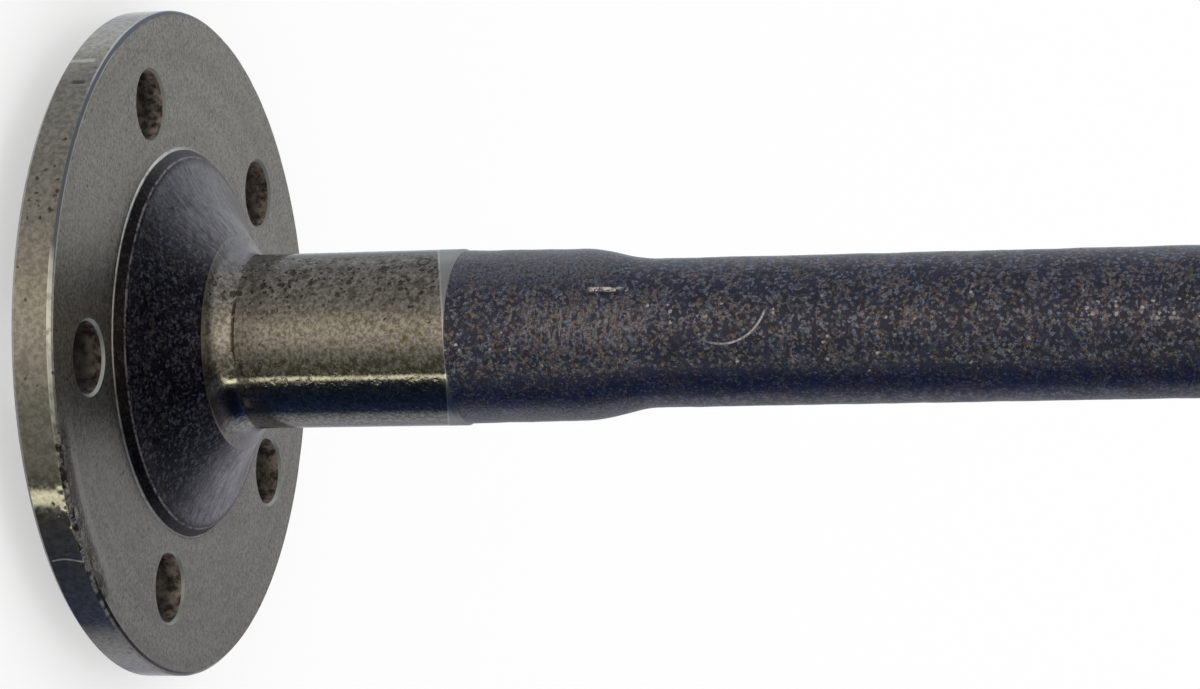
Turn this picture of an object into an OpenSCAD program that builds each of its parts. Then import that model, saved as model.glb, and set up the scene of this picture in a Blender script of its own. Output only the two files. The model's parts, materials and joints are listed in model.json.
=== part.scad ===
// Semi-floating rear axle shaft: one steel forging with a wheel flange,
// a ground bearing journal, a long tapering shaft and a splined inner end.
// It stands on the wheel pilot, with the shaft up. Z = 0 is the face that
// the wheel or brake drum seats on, and the first stud hole lies on -Y.

/* [Wheel studs] */
// Diameter of the circle through the stud holes
bolt_circle_d = 114.3; // [100:0.1:140]
// Number of stud holes
stud_holes = 5; // [4:1:6]
// Diameter of a stud hole
stud_hole_d = 15.8; // [12:0.1:19]
// Chamfer at both mouths of a stud hole
hole_chamfer = 0.6; // [0.3:0.1:1]

/* [Flange] */
// Thickness of the flange
flange_t = 9.5; // [7:0.1:14]
// Metal left between a stud hole and the rim
rim_land = 11.15; // [8:0.05:16]
// Chamfer on both edges of the rim
rim_chamfer = 0.9; // [0.4:0.1:1.5]

/* [Wheel pilot] */
// Diameter of the pilot that centres the wheel
pilot_d = 71.4; // [56:0.1:86]
// Height of the pilot above the wheel face
pilot_h = 8; // [5:0.1:12]
// Lead-in chamfer on the pilot
pilot_chamfer = 1.6; // [0.8:0.1:2.4]
// Diameter of the forged recess in the pilot, at its mouth
recess_d = 42; // [32:0.5:50]
// Depth of the forged recess
recess_depth = 7; // [4:0.1:10]
// How much the recess narrows to its floor, on the radius
recess_draft = 4; // [2:0.1:6]
// Radius that blends the recess's wall into its floor
recess_blend = 3; // [2:0.1:3.6]

/* [Hub] */
// Gap between the hub's step and the stud holes
boss_gap = 4.95; // [3:0.05:7]
// Height of the hub's step above the flange face
boss_h = 2.3; // [1.5:0.1:3.2]
// How much the step's wall leans in, on the radius
boss_lean = 1.7; // [1:0.1:2.4]
// Length from the flange face to the start of the journal
hub_len = 18.2; // [15:0.1:24]
// How late the forged flare rises: 1 is a straight cone
flare_curve = 1.4; // [1:0.1:2]

/* [Bearing journal] */
// Diameter of the ground journal
journal_d = 39.67; // [34:0.01:46]
// Length of the ground journal
journal_len = 49.3; // [40:0.1:62]
// Radius of the ground fillet between the journal and the hub
fillet_r = 5.7; // [5.2:0.1:7.5]
// How far the ground fillet climbs the hub, on the radius
fillet_rise = 4.86; // [3.5:0.01:5.1]
// Step down from the journal to the forged barrel, on the radius
journal_step = 0.4; // [0.2:0.05:0.8]
// Length of the bright chamfer that ends the journal
journal_bevel = 0.7; // [0.4:0.1:1.2]

/* [Shaft] */
// Length of the forged barrel next to the journal
barrel_len = 27; // [20:0.5:36]
// How much the barrel narrows over its length, on the radius
barrel_draft = 0.3; // [0.1:0.05:0.6]
// Length of the taper from the barrel to the shaft
taper_len = 17.5; // [12:0.5:24]
// Diameter of the shaft at its thick end
shaft_d = 33; // [27:0.1:38]
// Length from the wheel face to the tip of the inner end
overall_len = 738; // [560:1:900]

/* [Spline] */
// Number of spline teeth
spline_teeth = 29; // [24:1:35]
// Pitch diameter of the spline
spline_pitch_d = 30.69; // [25:0.01:37]
// Pressure angle of the teeth
pressure_angle = 30; // [28:0.5:32]
// Length of the spline
spline_len = 72; // [56:1:90]
// Length over which the tooth gaps run out
runout_len = 9; // [6:0.5:12]
// Lead-in chamfer at the spline's inner end
spline_chamfer = 1.4; // [0.8:0.1:1.8]
// Step down from the tooth tips to the shaft's neck, on the radius
neck_step = 0.45; // [0.2:0.05:0.8]
// Length of the chamfer between the neck and the spline
neck_bevel = 1.2; // [0.8:0.1:2]

/* [Clip end] */
// Width of the groove for the C-shaped retaining clip
groove_w = 5.4; // [4.8:0.1:6.5]
// Depth of the groove below the button
groove_depth = 2.6; // [2:0.1:3.2]
// Radius in the groove's two corners
groove_corner = 0.8; // [0.5:0.1:1]
// Thickness of the button that the clip bears on
button_t = 8; // [6:0.1:10]
// Step down from the tooth roots to the button, on the radius
button_step = 0.7; // [0.4:0.1:1.2]
// Chamfer on the button
button_chamfer = 1.2; // [0.6:0.1:1.8]

/* [Turning centres] */
// Diameter of the drilled pilot of a turning centre
centre_drill_d = 5; // [4:0.1:6]
// Depth of the drilled pilot of a turning centre
centre_drill_depth = 9; // [6:0.5:11]
// Diameter of the turning centre's cone at its mouth
centre_cone_d = 11; // [9:0.1:13]

/* [Hidden] */
$fn = 96;
full_turn = 360;
half_turn = 180;
// Points along a round stretch of an outline
arc_steps = 10;
taper_steps = 16;
flank_steps = 2;
// Overrun that lets every cut pass its face
cut = 1;
// Half the included angle of a turning centre
centre_half_angle = 30;

// Radii and heights worked out from the sizes above
flange_r = (bolt_circle_d + stud_hole_d) / 2 + rim_land;
boss_r = (bolt_circle_d - stud_hole_d) / 2 - boss_gap;
boss_top_r = boss_r - boss_lean;
journal_r = journal_d / 2;
ground_r = journal_r + fillet_rise;
barrel_r = journal_r - journal_step;
barrel_end_r = barrel_r - barrel_draft;
shaft_r = shaft_d / 2;
pilot_r = pilot_d / 2;
recess_r = recess_d / 2;
recess_floor_r = recess_r - recess_draft;

boss_z = flange_t + boss_h;
journal_z = flange_t + hub_len;
fillet_turn = acos(1 - fillet_rise / fillet_r);
ground_z = journal_z - fillet_r * sin(fillet_turn);
journal_end_z = journal_z + journal_len;
taper_z = journal_end_z + barrel_len;
shaft_z = taper_z + taper_len;

tooth_module = spline_pitch_d / spline_teeth;
pitch_r = spline_pitch_d / 2;
base_r = pitch_r * cos(pressure_angle);
// Shares of the module that a 30 degree flat-root spline has above and below its pitch circle
tip_share = 0.5;
root_share = 0.675;
tip_r = pitch_r + tip_share * tooth_module;
root_r = pitch_r - root_share * tooth_module;
neck_r = tip_r - neck_step;
button_r = root_r - button_step;
groove_r = button_r - groove_depth;
// Radius of the solid bar that carries the teeth, buried under their roots
core_r = button_r;

button_z = overall_len - button_t;
groove_z = button_z - groove_w;
spline_z = groove_z - spline_len;
neck_z = spline_z - neck_bevel;

// Points of a round stretch: centre, radius, first and last angle, in [radius, height]
function arc(centre, r, from, to, steps = arc_steps) =
    [for (i = [0:steps]) let (a = from + (to - from) * i / steps)
        centre + r * [cos(a), sin(a)]];

// The forged flare rises slowly off the step and steeply towards the journal
function flare() =
    [for (i = [0:arc_steps]) let (s = i / arc_steps)
        [boss_top_r + (ground_r - boss_top_r) * s,
         boss_z + (ground_z - boss_z) * pow(s, flare_curve)]];

// The ground fillet, from the hub down to the journal
function ground_fillet() =
    arc([journal_r + fillet_r, journal_z], fillet_r,
        half_turn + fillet_turn, half_turn);

// The taper is a smooth wave, with no corner at either end
function taper() =
    [for (i = [0:taper_steps]) let (s = i / taper_steps)
        [barrel_end_r + (shaft_r - barrel_end_r) * (1 - cos(half_turn * s)) / 2,
         taper_z + taper_len * s]];

// Half outline of everything that the forging die and the lathe leave round
function turned_outline() = concat(
    [[0, -pilot_h],
     [pilot_r - pilot_chamfer, -pilot_h],
     [pilot_r, -pilot_h + pilot_chamfer],
     [pilot_r, 0],
     [flange_r - rim_chamfer, 0],
     [flange_r, rim_chamfer],
     [flange_r, flange_t - rim_chamfer],
     [flange_r - rim_chamfer, flange_t],
     [boss_r, flange_t]],
    flare(),
    ground_fillet(),
    [[journal_r, journal_end_z - journal_bevel],
     [barrel_r, journal_end_z]],
    taper(),
    [[neck_r, neck_z],
     [core_r, neck_z],
     [core_r, groove_z],
     [0, groove_z]]);

module turned_blank() {
    rotate_extrude() polygon(turned_outline());
}

// Angle of an involute at a radius, in degrees
function involute(a) = tan(a) * half_turn / PI - a;

// Half the angle that a tooth spans at a radius
function tooth_half_angle(r) =
    full_turn / spline_teeth / 4
    + involute(pressure_angle) - involute(acos(base_r / r));

// One flank from root to tip (side -1), or from tip to root (side 1)
function flank(middle, side) =
    [for (i = [0:flank_steps])
        let (s = side < 0 ? i / flank_steps : 1 - i / flank_steps,
             r = root_r + (tip_r - root_r) * s,
             a = middle + side * tooth_half_angle(r))
        r * [cos(a), sin(a)]];

function spline_outline() =
    [for (i = [0:spline_teeth - 1], side = [-1, 1],
          p = flank(i * full_turn / spline_teeth, side)) p];

// The round blank that the teeth are cut in: its ends are chamfered
module spline_blank() {
    rotate_extrude()
        polygon([[0, neck_z],
                 [neck_r, neck_z],
                 [tip_r, spline_z],
                 [tip_r, groove_z - spline_chamfer],
                 [tip_r - spline_chamfer, groove_z],
                 [0, groove_z]]);
}

// Where the round cutter lifts out, the gaps follow its arc up to the tooth tips
module spline_runout() {
    climb = tip_r - core_r;
    cutter_r = (pow(runout_len, 2) + pow(climb, 2)) / 2 / climb;
    runout_z = spline_z + runout_len;
    rotate_extrude()
        polygon(concat(
            [[0, neck_z], [neck_r, neck_z]],
            arc([core_r + cutter_r, runout_z], cutter_r,
                half_turn + asin(runout_len / cutter_r), half_turn),
            [[0, runout_z]]));
}

module spline() {
    intersection() {
        translate([0, 0, neck_z])
            linear_extrude(height = groove_z - neck_z)
                polygon(spline_outline());
        spline_blank();
    }
    spline_runout();
}

// Groove floor and button, with a radius in each corner of the groove
module clip_end() {
    corner = groove_r + groove_corner;
    rotate_extrude()
        polygon(concat(
            [[0, groove_z - cut], [corner, groove_z - cut]],
            arc([corner, groove_z + groove_corner], groove_corner,
                -half_turn / 2, -half_turn),
            arc([corner, button_z - groove_corner], groove_corner,
                half_turn, half_turn / 2),
            [[button_r, button_z],
             [button_r, overall_len - button_chamfer],
             [button_r - button_chamfer, overall_len],
             [0, overall_len]]));
}

// The 45 degree cones at the mouths run on past the flange's faces
module stud_hole() {
    hole_r = stud_hole_d / 2;
    cone_h = hole_chamfer + cut;
    translate([0, 0, -cut]) {
        cylinder(r = hole_r, h = flange_t + 2 * cut);
        cylinder(r1 = hole_r + cone_h, r2 = hole_r, h = cone_h);
    }
    translate([0, 0, flange_t - hole_chamfer])
        cylinder(r1 = hole_r, r2 = hole_r + cone_h, h = cone_h);
}

module stud_circle() {
    for (i = [0:stud_holes - 1])
        rotate(i * full_turn / stud_holes)
            translate([0, -bolt_circle_d / 2, 0])
                stud_hole();
}

// The drafted recess that the forging die leaves in the pilot
module pilot_recess() {
    lean = atan(recess_draft / recess_depth);
    floor_z = recess_depth - pilot_h;
    blend_x = recess_floor_r - recess_blend * (1 - sin(lean)) / cos(lean);
    rotate_extrude()
        polygon(concat(
            [[0, -pilot_h - cut],
             [recess_r, -pilot_h - cut],
             [recess_r, -pilot_h]],
            arc([blend_x, floor_z - recess_blend], recess_blend,
                lean, half_turn / 2),
            [[0, floor_z]]));
}

// A 60 degree turning centre, cut into a face at height z, drilled up (1) or down (-1)
module turning_centre(z, way) {
    cone_depth = (centre_cone_d - centre_drill_d) / 2 / tan(centre_half_angle);
    translate([0, 0, z])
        mirror([0, 0, way < 0 ? 1 : 0]) {
            translate([0, 0, -cut])
                cylinder(d = centre_cone_d, h = cut);
            cylinder(d1 = centre_cone_d, d2 = centre_drill_d, h = cone_depth);
            cylinder(d = centre_drill_d, h = centre_drill_depth);
        }
}

module axle_shaft() {
    color("dimgray")
        difference() {
            union() {
                turned_blank();
                spline();
                clip_end();
            }
            stud_circle();
            pilot_recess();
            turning_centre(recess_depth - pilot_h, 1);
            turning_centre(overall_len, -1);
        }
}

axle_shaft();
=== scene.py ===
# %% [markdown]
# # A forged axle shaft
#
# This script dresses one steel forging: a rear axle shaft with a drilled wheel
# flange, a ground bearing journal, a long shaft in its black forging scale and a
# splined inner end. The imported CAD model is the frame. It says how big everything
# is, and this script only changes how it looks.

import json
import math

import bmesh
import bpy
import numpy as np
from mathutils import Matrix, Vector, noise
from mathutils.geometry import delaunay_2d_cdt


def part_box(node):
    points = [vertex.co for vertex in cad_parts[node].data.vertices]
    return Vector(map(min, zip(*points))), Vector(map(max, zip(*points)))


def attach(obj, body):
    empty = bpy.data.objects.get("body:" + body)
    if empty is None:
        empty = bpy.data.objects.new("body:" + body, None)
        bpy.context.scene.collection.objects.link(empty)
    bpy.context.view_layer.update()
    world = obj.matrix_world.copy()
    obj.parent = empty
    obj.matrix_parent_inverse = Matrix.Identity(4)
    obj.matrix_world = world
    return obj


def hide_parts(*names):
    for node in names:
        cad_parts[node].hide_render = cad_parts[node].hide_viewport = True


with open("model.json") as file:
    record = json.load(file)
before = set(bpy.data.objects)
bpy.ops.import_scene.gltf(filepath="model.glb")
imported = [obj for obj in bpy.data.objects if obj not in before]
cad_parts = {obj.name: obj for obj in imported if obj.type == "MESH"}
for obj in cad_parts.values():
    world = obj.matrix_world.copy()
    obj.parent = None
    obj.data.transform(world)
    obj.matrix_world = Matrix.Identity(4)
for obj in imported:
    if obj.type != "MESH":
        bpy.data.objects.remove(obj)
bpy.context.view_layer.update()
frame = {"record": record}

# %% [markdown]
# ## Sizes
#
# A Blender scene is in metres, but a shop drawing is in millimetres, so the sizes
# below are in millimetres and one factor turns them into metres at the end. What
# the frame knows, such as the stud circle and the journal, is read from it. That
# way the dressed part always fits the solid.

# %% Sizes from the frame
MM = 0.001
mounts = {mount["name"]: mount["dims"] for mount in frame["record"]["mounts"]}
low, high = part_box("axle_shaft")

flange_r = high.x / MM
pilot_z = low.z / MM
tip_z = high.z / MM
stud_circle_r = mounts["wheel_studs"]["pcd_mm"] / 2
stud_holes = mounts["wheel_studs"]["count"]
hole_r = mounts["wheel_studs"]["hole_r_mm"]
pilot_r = mounts["wheel_pilot"]["r_mm"]
journal_r = mounts["bearing_journal"]["r_mm"]
print(f"flange {2 * flange_r:.1f} mm across, part {tip_z - pilot_z:.1f} mm tall")

# %% [markdown]
# The forging die and the lathe set the other lengths. Each stretch of the shaft gets
# its length, and its height above the wheel's face is worked out from those below
# it. The spline's end is counted down from the tip instead, as a fitter measures it.

# %% Heights up the part
flange_t = 9.5
hub_len = 18.2
journal_len = 49.3
barrel_len = 27.0
taper_len = 17.5
journal_z = flange_t + hub_len
journal_end_z = journal_z + journal_len
taper_z = journal_end_z + barrel_len
shaft_z = taper_z + taper_len

button_t = 8.0
groove_w = 5.4
spline_len = 72.0
neck_bevel = 1.2
button_z = tip_z - button_t
groove_z = button_z - groove_w
spline_z = groove_z - spline_len
neck_z = spline_z - neck_bevel
print(f"journal from {journal_z:.1f} to {journal_end_z:.1f} mm, spline from {spline_z:.1f} mm")

# %% [markdown]
# ## The camera
#
# The photograph shows the shaft lying across the picture, but the part stands on
# its pilot. A camera can be turned about its own line of sight, so it is rolled by
# almost 90 degrees and the standing shaft runs across the frame. The lens and the
# place were found from the outlines of the flange, the holes and the journal: only
# one distance makes the far side of the flange look as small as it does.

# %% Camera
camera_place = Vector((-0.0348, -0.7607, 0.3224))
picture_right = Vector((0.03381, 0.27054, 0.96211))
picture_up = Vector((-0.99833, 0.05426, 0.01982))
lens_mm, sensor_mm = 106.75, 36.0

camera_data = bpy.data.cameras.new("camera")
camera_data.sensor_width = sensor_mm
camera_data.lens = lens_mm
camera = bpy.data.objects.new("camera", camera_data)
bpy.context.scene.collection.objects.link(camera)
right = picture_right.normalized()
back = right.cross(picture_up).normalized()
up = back.cross(right)
turned = Matrix((right, up, back)).transposed().to_4x4()
camera.matrix_world = Matrix.Translation(camera_place) @ turned
bpy.context.scene.camera = camera
print("the camera looks down by", round(math.degrees(math.asin(back.z)), 1), "degrees")

# %% [markdown]
# ## Where a mark lies
#
# Wear is placed by two numbers that a fitter would use: how far up the part it is,
# and how far round from the side that faces the camera. Positive angles go towards
# the top of the picture.

# %% The side that faces the camera
TURN = 2 * math.pi
front_x, front_y = -0.0487, -0.9988
facing = math.atan2(front_y, front_x)
print("the front faces", round(math.degrees(facing), 1), "degrees")

# %% [markdown]
# ## A mesh made of rings
#
# A turned part is a stack of rings. Blender's Screw modifier would spin one outline,
# but it gives every height the same number of points. Here the rim needs fine steps
# for its chipped edge, and the long shaft doesn't, so the rings are laid one by one:
# each may have half or twice the points of its neighbour. All counts are multiples
# of the spline's 29 teeth, so that the teeth join the shaft point to point.

# %% Rings
teeth = 29
RIM, HUB, JOURNAL, SHAFT = (teeth * points_per_tooth for points_per_tooth in (32, 16, 8, 4))
first_angle = -math.pi / 2
points = []


def ring(z, r, count, angles=None):
    """Adds a ring of points at height z. r is one radius, or one for each point."""
    if angles is None:
        angles = first_angle + np.arange(count) * TURN / count
    radii = np.broadcast_to(r, count)
    start = len(points)
    points.extend(zip(radii * np.cos(angles), radii * np.sin(angles), np.full(count, z)))
    return list(range(start, start + count))


print("points in a ring of the rim, hub, journal and shaft:", RIM, HUB, JOURNAL, SHAFT)

# %% [markdown]
# Two neighbouring rings are joined with a skin of faces. Rings of the same count get
# one four-sided face a step. Where the count doubles, three triangles take its
# place, and a ring round a single point becomes a fan.

# %% Skin between two rings
skins = []


def skin(first, second, finish):
    """Joins two rings with faces of one finish, and returns the second to build on."""
    a, b = sorted((first, second), key=len)
    na, nb = len(a), len(b)
    for i in range(na if na > 1 else nb):
        j = (i + 1) % na
        if na == 1:
            skins.append(((a[0], b[i], b[(i + 1) % nb]), finish))
        elif na == nb:
            skins.append(((a[i], a[j], b[j], b[i]), finish))
        else:
            b0, b1, b2 = b[2 * i], b[2 * i + 1], b[(2 * i + 2) % nb]
            skins.extend([((a[i], b1, b0), finish), ((a[i], a[j], b1), finish),
                          ((a[j], b2, b1), finish)])
    return second


def stack(rows, count, finish, start):
    """Lays rings along an outline of (radius, height) rows on start. Returns the last ring."""
    for r, z in rows:
        start = skin(start, ring(z, r, count), finish)
    return start


# %% [markdown]
# Straight and round stretches of an outline come from formulas, so that they stay
# true at any number of steps. The wave is for the taper: it leaves one diameter and
# meets the next with no corner, as a forging die must.

# %% Outline helpers
def arc(centre, r, start, end, steps):
    """Points on a round stretch, as (radius, height), from start to end in degrees."""
    turn = np.radians(np.linspace(start, end, steps + 1))
    return [(centre[0] + r * math.cos(t), centre[1] + r * math.sin(t)) for t in turn]


def straight(a, b, steps):
    """Points on a straight stretch, without its first one."""
    return [tuple(np.array(a) + (np.array(b) - a) * (i + 1) / steps) for i in range(steps)]


def wave(a, b, steps):
    """An outline that leaves a and reaches b along the axis, with no corner at either end."""
    shares = (np.arange(steps) + 1) / steps
    return [(a[0] + (b[0] - a[0]) * (1 - math.cos(math.pi * s)) / 2, a[1] + (b[1] - a[1]) * s)
            for s in shares]


corner_test = [(round(float(r), 2), round(float(z), 2)) for r, z in arc((0, 0), 1, 0, 90, 2)]
print("a quarter turn of 1 mm in two steps:", corner_test)

# %% [markdown]
# ## The outboard side
#
# The wheel sits here. In the middle the die leaves a shallow recess, and the lathe
# needs a turning centre in its floor: a small drilled hole with a 60 degree cone.
# The photograph doesn't show this side, so it is plain. Each stretch of skin is
# given its finish as it is laid, which saves picking faces by hand later.

# %% Turning centre and recess
FACE, EDGE, SCALE, GROUND, BORE, CUT = range(6)
recess_r, recess_floor_r = 21.0, 17.0
recess_depth, recess_blend, recess_chamfer = 7.0, 3.0, 0.4
centre_r, centre_drill_r, centre_drill_depth = 5.5, 2.5, 9.0

recess_floor_z = pilot_z + recess_depth
drill_end = ring(recess_floor_z + centre_drill_depth, 0, 1)
last = skin(drill_end, ring(recess_floor_z + centre_drill_depth, centre_drill_r, SHAFT), BORE)
cone_h = (centre_r - centre_drill_r) / math.tan(math.radians(30))
cone_rows = [(centre_drill_r, recess_floor_z + cone_h), (centre_r, recess_floor_z)]
last = stack(cone_rows, SHAFT, CUT, last)

lean = math.atan2(recess_r - recess_floor_r, recess_depth)
blend_x = recess_floor_r - recess_blend * (1 - math.sin(lean)) / math.cos(lean)
blend_centre = (blend_x, recess_floor_z - recess_blend)
recess_rows = ([(blend_x / 2, recess_floor_z)]
               + arc(blend_centre, recess_blend, 90, math.degrees(lean), 8)
               + [(recess_r, pilot_z + recess_chamfer), (recess_r + recess_chamfer, pilot_z)])
last = stack(recess_rows, SHAFT, SCALE, last)
print("recess and turning centre:", len(points), "points")

# %% [markdown]
# The pilot is the round step that centres the wheel. A chamfer leads the wheel onto
# it, and its wall gets a few rings so that the faces stay near square.

# %% Wheel pilot
pilot_chamfer = 1.6
pilot_wall_z = pilot_z + pilot_chamfer
pilot_rows = ([(pilot_r - pilot_chamfer, pilot_z), (pilot_r, pilot_wall_z)]
              + straight((pilot_r, pilot_wall_z), (pilot_r, 0), 4))
pilot_foot = stack(pilot_rows, JOURNAL, FACE, last)
print("with the pilot:", len(points), "points")

# %% [markdown]
# ## The rim
#
# The rim is turned, with a small chamfer on each edge. It has the finest rings of
# the part, because its inboard edge is chipped later by moving these points.

# %% Rim
rim_chamfer = 0.9
outboard_edge = ring(0, flange_r - rim_chamfer, RIM)
outboard_corner, inboard_corner = (flange_r, rim_chamfer), (flange_r, flange_t - rim_chamfer)
rim_rows = (straight((flange_r - rim_chamfer, 0), outboard_corner, 3)
            + straight(outboard_corner, inboard_corner, 9)
            + straight(inboard_corner, (flange_r - rim_chamfer, flange_t), 4))
inboard_edge = stack(rim_rows, RIM, EDGE, outboard_edge)
print("with the rim:", len(points), "points")

# %% [markdown]
# ## Stud holes
#
# Five holes are drilled through the flange, with a light chamfer on each mouth. A
# boolean could cut them, but it leaves long thin triangles round every hole. So each
# wall is a small stack of rings about the hole's own axis, and the faces round it
# are filled afterwards.

# %% Stud holes
HOLE_POINTS = 96
hole_chamfer = 0.6
hole_angles = [first_angle + i * TURN / stud_holes for i in range(stud_holes)]
hole_centres = [(stud_circle_r * math.cos(t), stud_circle_r * math.sin(t)) for t in hole_angles]


def hole_ring(centre, r, z):
    """A ring of points round a stud hole's own axis."""
    start = len(points)
    for i in range(HOLE_POINTS):
        t = i * TURN / HOLE_POINTS
        points.append((centre[0] + r * math.cos(t), centre[1] + r * math.sin(t), z))
    return list(range(start, start + HOLE_POINTS))


mouth_r = hole_r + hole_chamfer
outboard_mouths, inboard_mouths = [], []
for centre in hole_centres:
    outboard_mouths.append(hole_ring(centre, mouth_r, 0))
    wall = skin(outboard_mouths[-1], hole_ring(centre, hole_r, hole_chamfer), EDGE)
    for z in np.linspace(hole_chamfer, flange_t - hole_chamfer, 5)[1:]:
        wall = skin(wall, hole_ring(centre, hole_r, z), BORE)
    inboard_mouths.append(skin(wall, hole_ring(centre, mouth_r, flange_t), EDGE))
print("stud holes:", len(hole_centres), "on a circle of", 2 * stud_circle_r, "mm")

# %% [markdown]
# ## The two faces
#
# Each face is a flat ring with five holes in it. A constrained Delaunay mesh keeps
# the outlines as they are and fills the flat area between them, so the holes' edges
# stay true circles. Some loose points in between keep its triangles short.

# %% Fill a flat face round the holes
fill_step, fill_from_inner, fill_from_outer, fill_from_hole = 3.1, 2.5, 1.0, 2.0


def clear_of_holes(x, y, distance):
    """True where a place is further than that from the middle of every stud hole."""
    return all(math.hypot(x - hole_x, y - hole_y) > distance for hole_x, hole_y in hole_centres)


def drilled_face(outer, inner, mouths, z, finish):
    """Fills the flat ring between two outlines, leaving the holes open."""
    start = len(points)
    r_out, r_in = (math.hypot(*points[loop[0]][:2]) for loop in (outer, inner))
    for r in np.arange(r_in + fill_from_inner, r_out - fill_from_outer, fill_step):
        for t in np.arange(HUB // 2) * TURN * 2 / HUB:
            x, y = r * math.cos(t), r * math.sin(t)
            if clear_of_holes(x, y, hole_r + fill_from_hole):
                points.append((x, y, z))
    loops = [outer, inner] + mouths
    ids = [i for loop in loops for i in loop] + list(range(start, len(points)))
    place = {i: k for k, i in enumerate(ids)}
    flat = [Vector(points[i][:2]) for i in ids]
    edges = [(place[i], place[j]) for loop in loops for i, j in zip(loop, loop[1:] + loop[:1])]
    _, _, found, origin, _, _ = delaunay_2d_cdt(flat, edges, [], 0, 1e-7)
    for face in found:
        corners = [ids[origin[k][0]] for k in face]
        x, y = np.mean([points[i][:2] for i in corners], axis=0)
        outside_inner = math.hypot(x, y) >= r_in * math.cos(math.pi / HUB)
        if outside_inner and clear_of_holes(x, y, hole_r + 0.99 * hole_chamfer):
            skins.append((tuple(corners), finish))


web = 2 * stud_circle_r * math.sin(math.pi / stud_holes) - 2 * mouth_r
print(f"steel between two holes: {web:.1f} mm")

# %% [markdown]
# On the inboard face the facing tool stopped just short of the hub's step and left a
# lip there, a fifth of a millimetre high. It catches the light all along the step.

# %% Lip and faces
boss_r = 44.3
lip_w, lip_h = 0.70, 0.20
lip_foot = ring(flange_t, boss_r + lip_w, HUB)
lip_rows = [(boss_r + lip_w * 0.6, flange_t + lip_h), (boss_r + 0.05, flange_t + lip_h)]
boss_foot = stack(lip_rows, HUB, FACE, lip_foot)
drilled_face(outboard_edge, pilot_foot, outboard_mouths, 0, FACE)
drilled_face(inboard_edge, lip_foot, inboard_mouths, flange_t, FACE)
print("with the flange:", len(points), "points,", len(skins), "faces")

# %% [markdown]
# ## The hub
#
# The hub's low step and its flare are left as forged. The flare is a curve of a
# power a little over one: steep at the shaft, and flat where it leaves the step. It
# ends on the line where the grinding wheel began to cut.

# %% Hub
boss_top_r, boss_h = 42.6, 2.3
fillet_r, fillet_rise = 5.7, 4.86
flare_curve = 1.4

boss_z = flange_t + boss_h
fillet_turn = math.degrees(math.acos(1 - fillet_rise / fillet_r))
ground_r = journal_r + fillet_rise
ground_z = journal_z - fillet_r * math.sin(math.radians(fillet_turn))
step_rows = straight((boss_r, flange_t + lip_h), (boss_top_r + 0.25, boss_z - 0.35), 4)
flare_rows = [(boss_top_r + (ground_r - boss_top_r) * s,
               boss_z + (ground_z - boss_z) * s ** flare_curve)
              for s in np.linspace(0.015, 1, 20)]
last = stack(step_rows + flare_rows, HUB, SCALE, boss_foot)
print("with the hub:", len(points), "points")

# %% [markdown]
# ## The fillet and the journal
#
# The grinding wheel cuts the journal, where the bearing runs, and the fillet that
# runs up the hub. That is why the fillet meets the black flare in a crisp line. The
# journal is a plain cylinder, and its end steps down to the forged barrel.

# %% Fillet and journal
journal_step, journal_bevel, journal_steps = 0.4, 0.7, 81
barrel_r = journal_r - journal_step
fillet_rows = arc((journal_r + fillet_r, journal_z), fillet_r, 180 + fillet_turn, 180, 12)[1:]
last = stack(fillet_rows, HUB, GROUND, last)
journal_start, journal_stop = (journal_r, journal_z), (journal_r, journal_end_z - journal_bevel)
journal_rows = straight(journal_start, journal_stop, journal_steps)
last = stack(journal_rows + [(barrel_r, journal_end_z)], JOURNAL, GROUND, last)
print("with the journal:", len(points), "points")

# %% [markdown]
# ## The shaft
#
# Barrel, taper and shaft are one forged surface. Its rings are close together near
# the flange, where the camera looks, and further apart beyond.

# %% Barrel, taper and shaft
shaft_r, neck_r = 16.5, 15.42
barrel_draft = 0.3
near_step, far_step, near_end_z = 1.3, 3.6, 250.0

barrel_start, barrel_end = (barrel_r, journal_end_z), (barrel_r - barrel_draft, taper_z)
shaft_start, neck = (shaft_r, shaft_z), (neck_r, neck_z)
near_share = (near_end_z - shaft_z) / (neck_z - shaft_z)
near_end = (shaft_r + (neck_r - shaft_r) * near_share, near_end_z)
shaft_rows = (straight(barrel_start, barrel_end, round(barrel_len / near_step))
              + wave(barrel_end, shaft_start, round(taper_len / near_step))
              + straight(shaft_start, near_end, round((near_end_z - shaft_z) / near_step))
              + straight(near_end, neck, round((neck_z - near_end_z) / far_step)))
last = stack(shaft_rows, SHAFT, SCALE, last)
print("with the shaft:", len(points), "points")

# %% [markdown]
# ## The spline
#
# A spline's teeth have involute flanks, like a gear's: the curve that the end of a
# taut string draws as it unwinds from a circle. Each tooth takes eight points of a
# ring: one on its middle line, two at its tip, two half-way down its flanks, two at
# its foot and one between it and the next tooth.

# %% Outline of the teeth
tooth_module = 30.69 / teeth
pressure = math.radians(30)
pitch_r = teeth * tooth_module / 2
base_r = pitch_r * math.cos(pressure)
tip_r = pitch_r + 0.5 * tooth_module
root_r = pitch_r - 0.675 * tooth_module
mid_r = (tip_r + root_r) / 2


def tooth_half_angle(r):
    """Half the angle that a tooth spans at a radius, from the involute of its base circle."""
    at_r = math.acos(base_r / r)
    return TURN / teeth / 4 + (math.tan(pressure) - pressure) - (math.tan(at_r) - at_r)


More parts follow.
